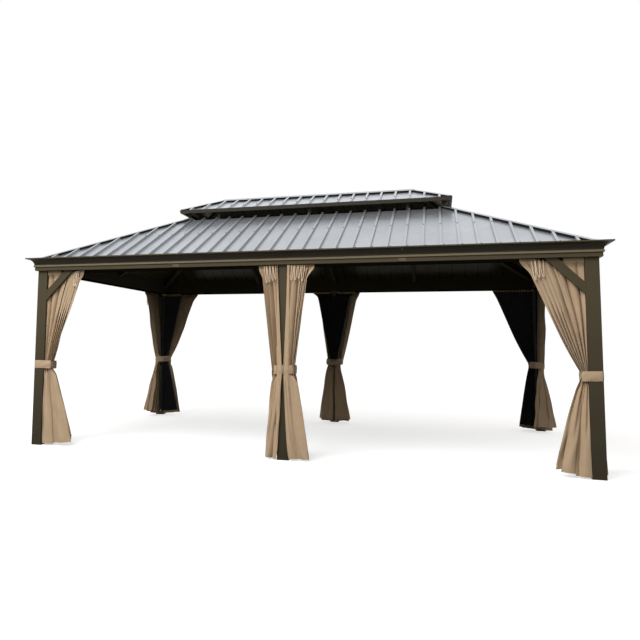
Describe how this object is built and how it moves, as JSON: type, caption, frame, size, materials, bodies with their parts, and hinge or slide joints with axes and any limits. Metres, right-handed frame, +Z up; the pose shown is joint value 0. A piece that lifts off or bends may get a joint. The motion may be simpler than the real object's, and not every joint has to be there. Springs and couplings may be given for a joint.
{
  "type": "metal gazebo",
  "caption": "Rectangular hardtop gazebo: square posts, moulded gutter, ribbed hip roof in two vented tiers, tied-back curtains and nets.",
  "frame": {"origin": "ground centre of the footprint", "axes": "+X along the length, -Y is the front in the picture, +Z up"},
  "size_m": [6.1, 3.6, 3.1225],
  "materials": {
    "bronze_frame": "satin powder coat",
    "bronze_trim": "satin powder coat",
    "grey_roof": "satin coated steel sheet",
    "rail": "dark powder coat",
    "curtain_cloth": "woven polyester",
    "net_cloth": "fine insect mesh"
  },
  "bodies": {
    "root": {"front_left_post": "bronze_frame", "front_middle_post": "bronze_frame", "front_right_post": "bronze_frame", "back_left_post": "bronze_frame", "back_middle_post": "bronze_frame", "back_right_post": "bronze_frame", "front_beam": "bronze_frame", "right_beam": "bronze_frame", "back_beam": "bronze_frame", "left_beam": "bronze_frame", "front_cornice": "bronze_frame", "right_cornice": "bronze_frame", "back_cornice": "bronze_frame", "left_cornice": "bronze_frame", "cornice_corners": "bronze_frame", "cornice_joint_plates": "bronze_frame", "lower_roof_front": "grey_roof", "lower_roof_right": "grey_roof", "lower_roof_back": "grey_roof", "lower_roof_left": "grey_roof", "upper_roof_front": "grey_roof", "upper_roof_right": "grey_roof", "upper_roof_back": "grey_roof", "upper_roof_left": "grey_roof", "hip_caps": "grey_roof", "upper_hip_caps": "grey_roof", "ridge_cap": "grey_roof", "hip_rafters": "bronze_frame", "rafters": "bronze_frame", "purlins": "bronze_frame", "crown_frame": "bronze_frame", "crown_struts": "bronze_frame", "upper_ring": "bronze_frame", "upper_hip_rafters": "bronze_frame", "ridge_bar": "bronze_frame", "upper_fascia": "bronze_trim", "corner_braces": "bronze_frame", "curtain_rails": "rail", "front_left_curtains": "curtain_cloth", "front_middle_curtains": "curtain_cloth", "front_right_curtains": "curtain_cloth", "back_left_curtains": "curtain_cloth", "back_middle_curtains": "curtain_cloth", "back_right_curtains": "curtain_cloth", "front_left_nets": "net_cloth", "front_middle_nets": "net_cloth", "front_right_nets": "net_cloth", "back_left_nets": "net_cloth", "back_middle_nets": "net_cloth", "back_right_nets": "net_cloth", "tie_back_straps": "curtain_cloth"}
  },
  "joints": []
}
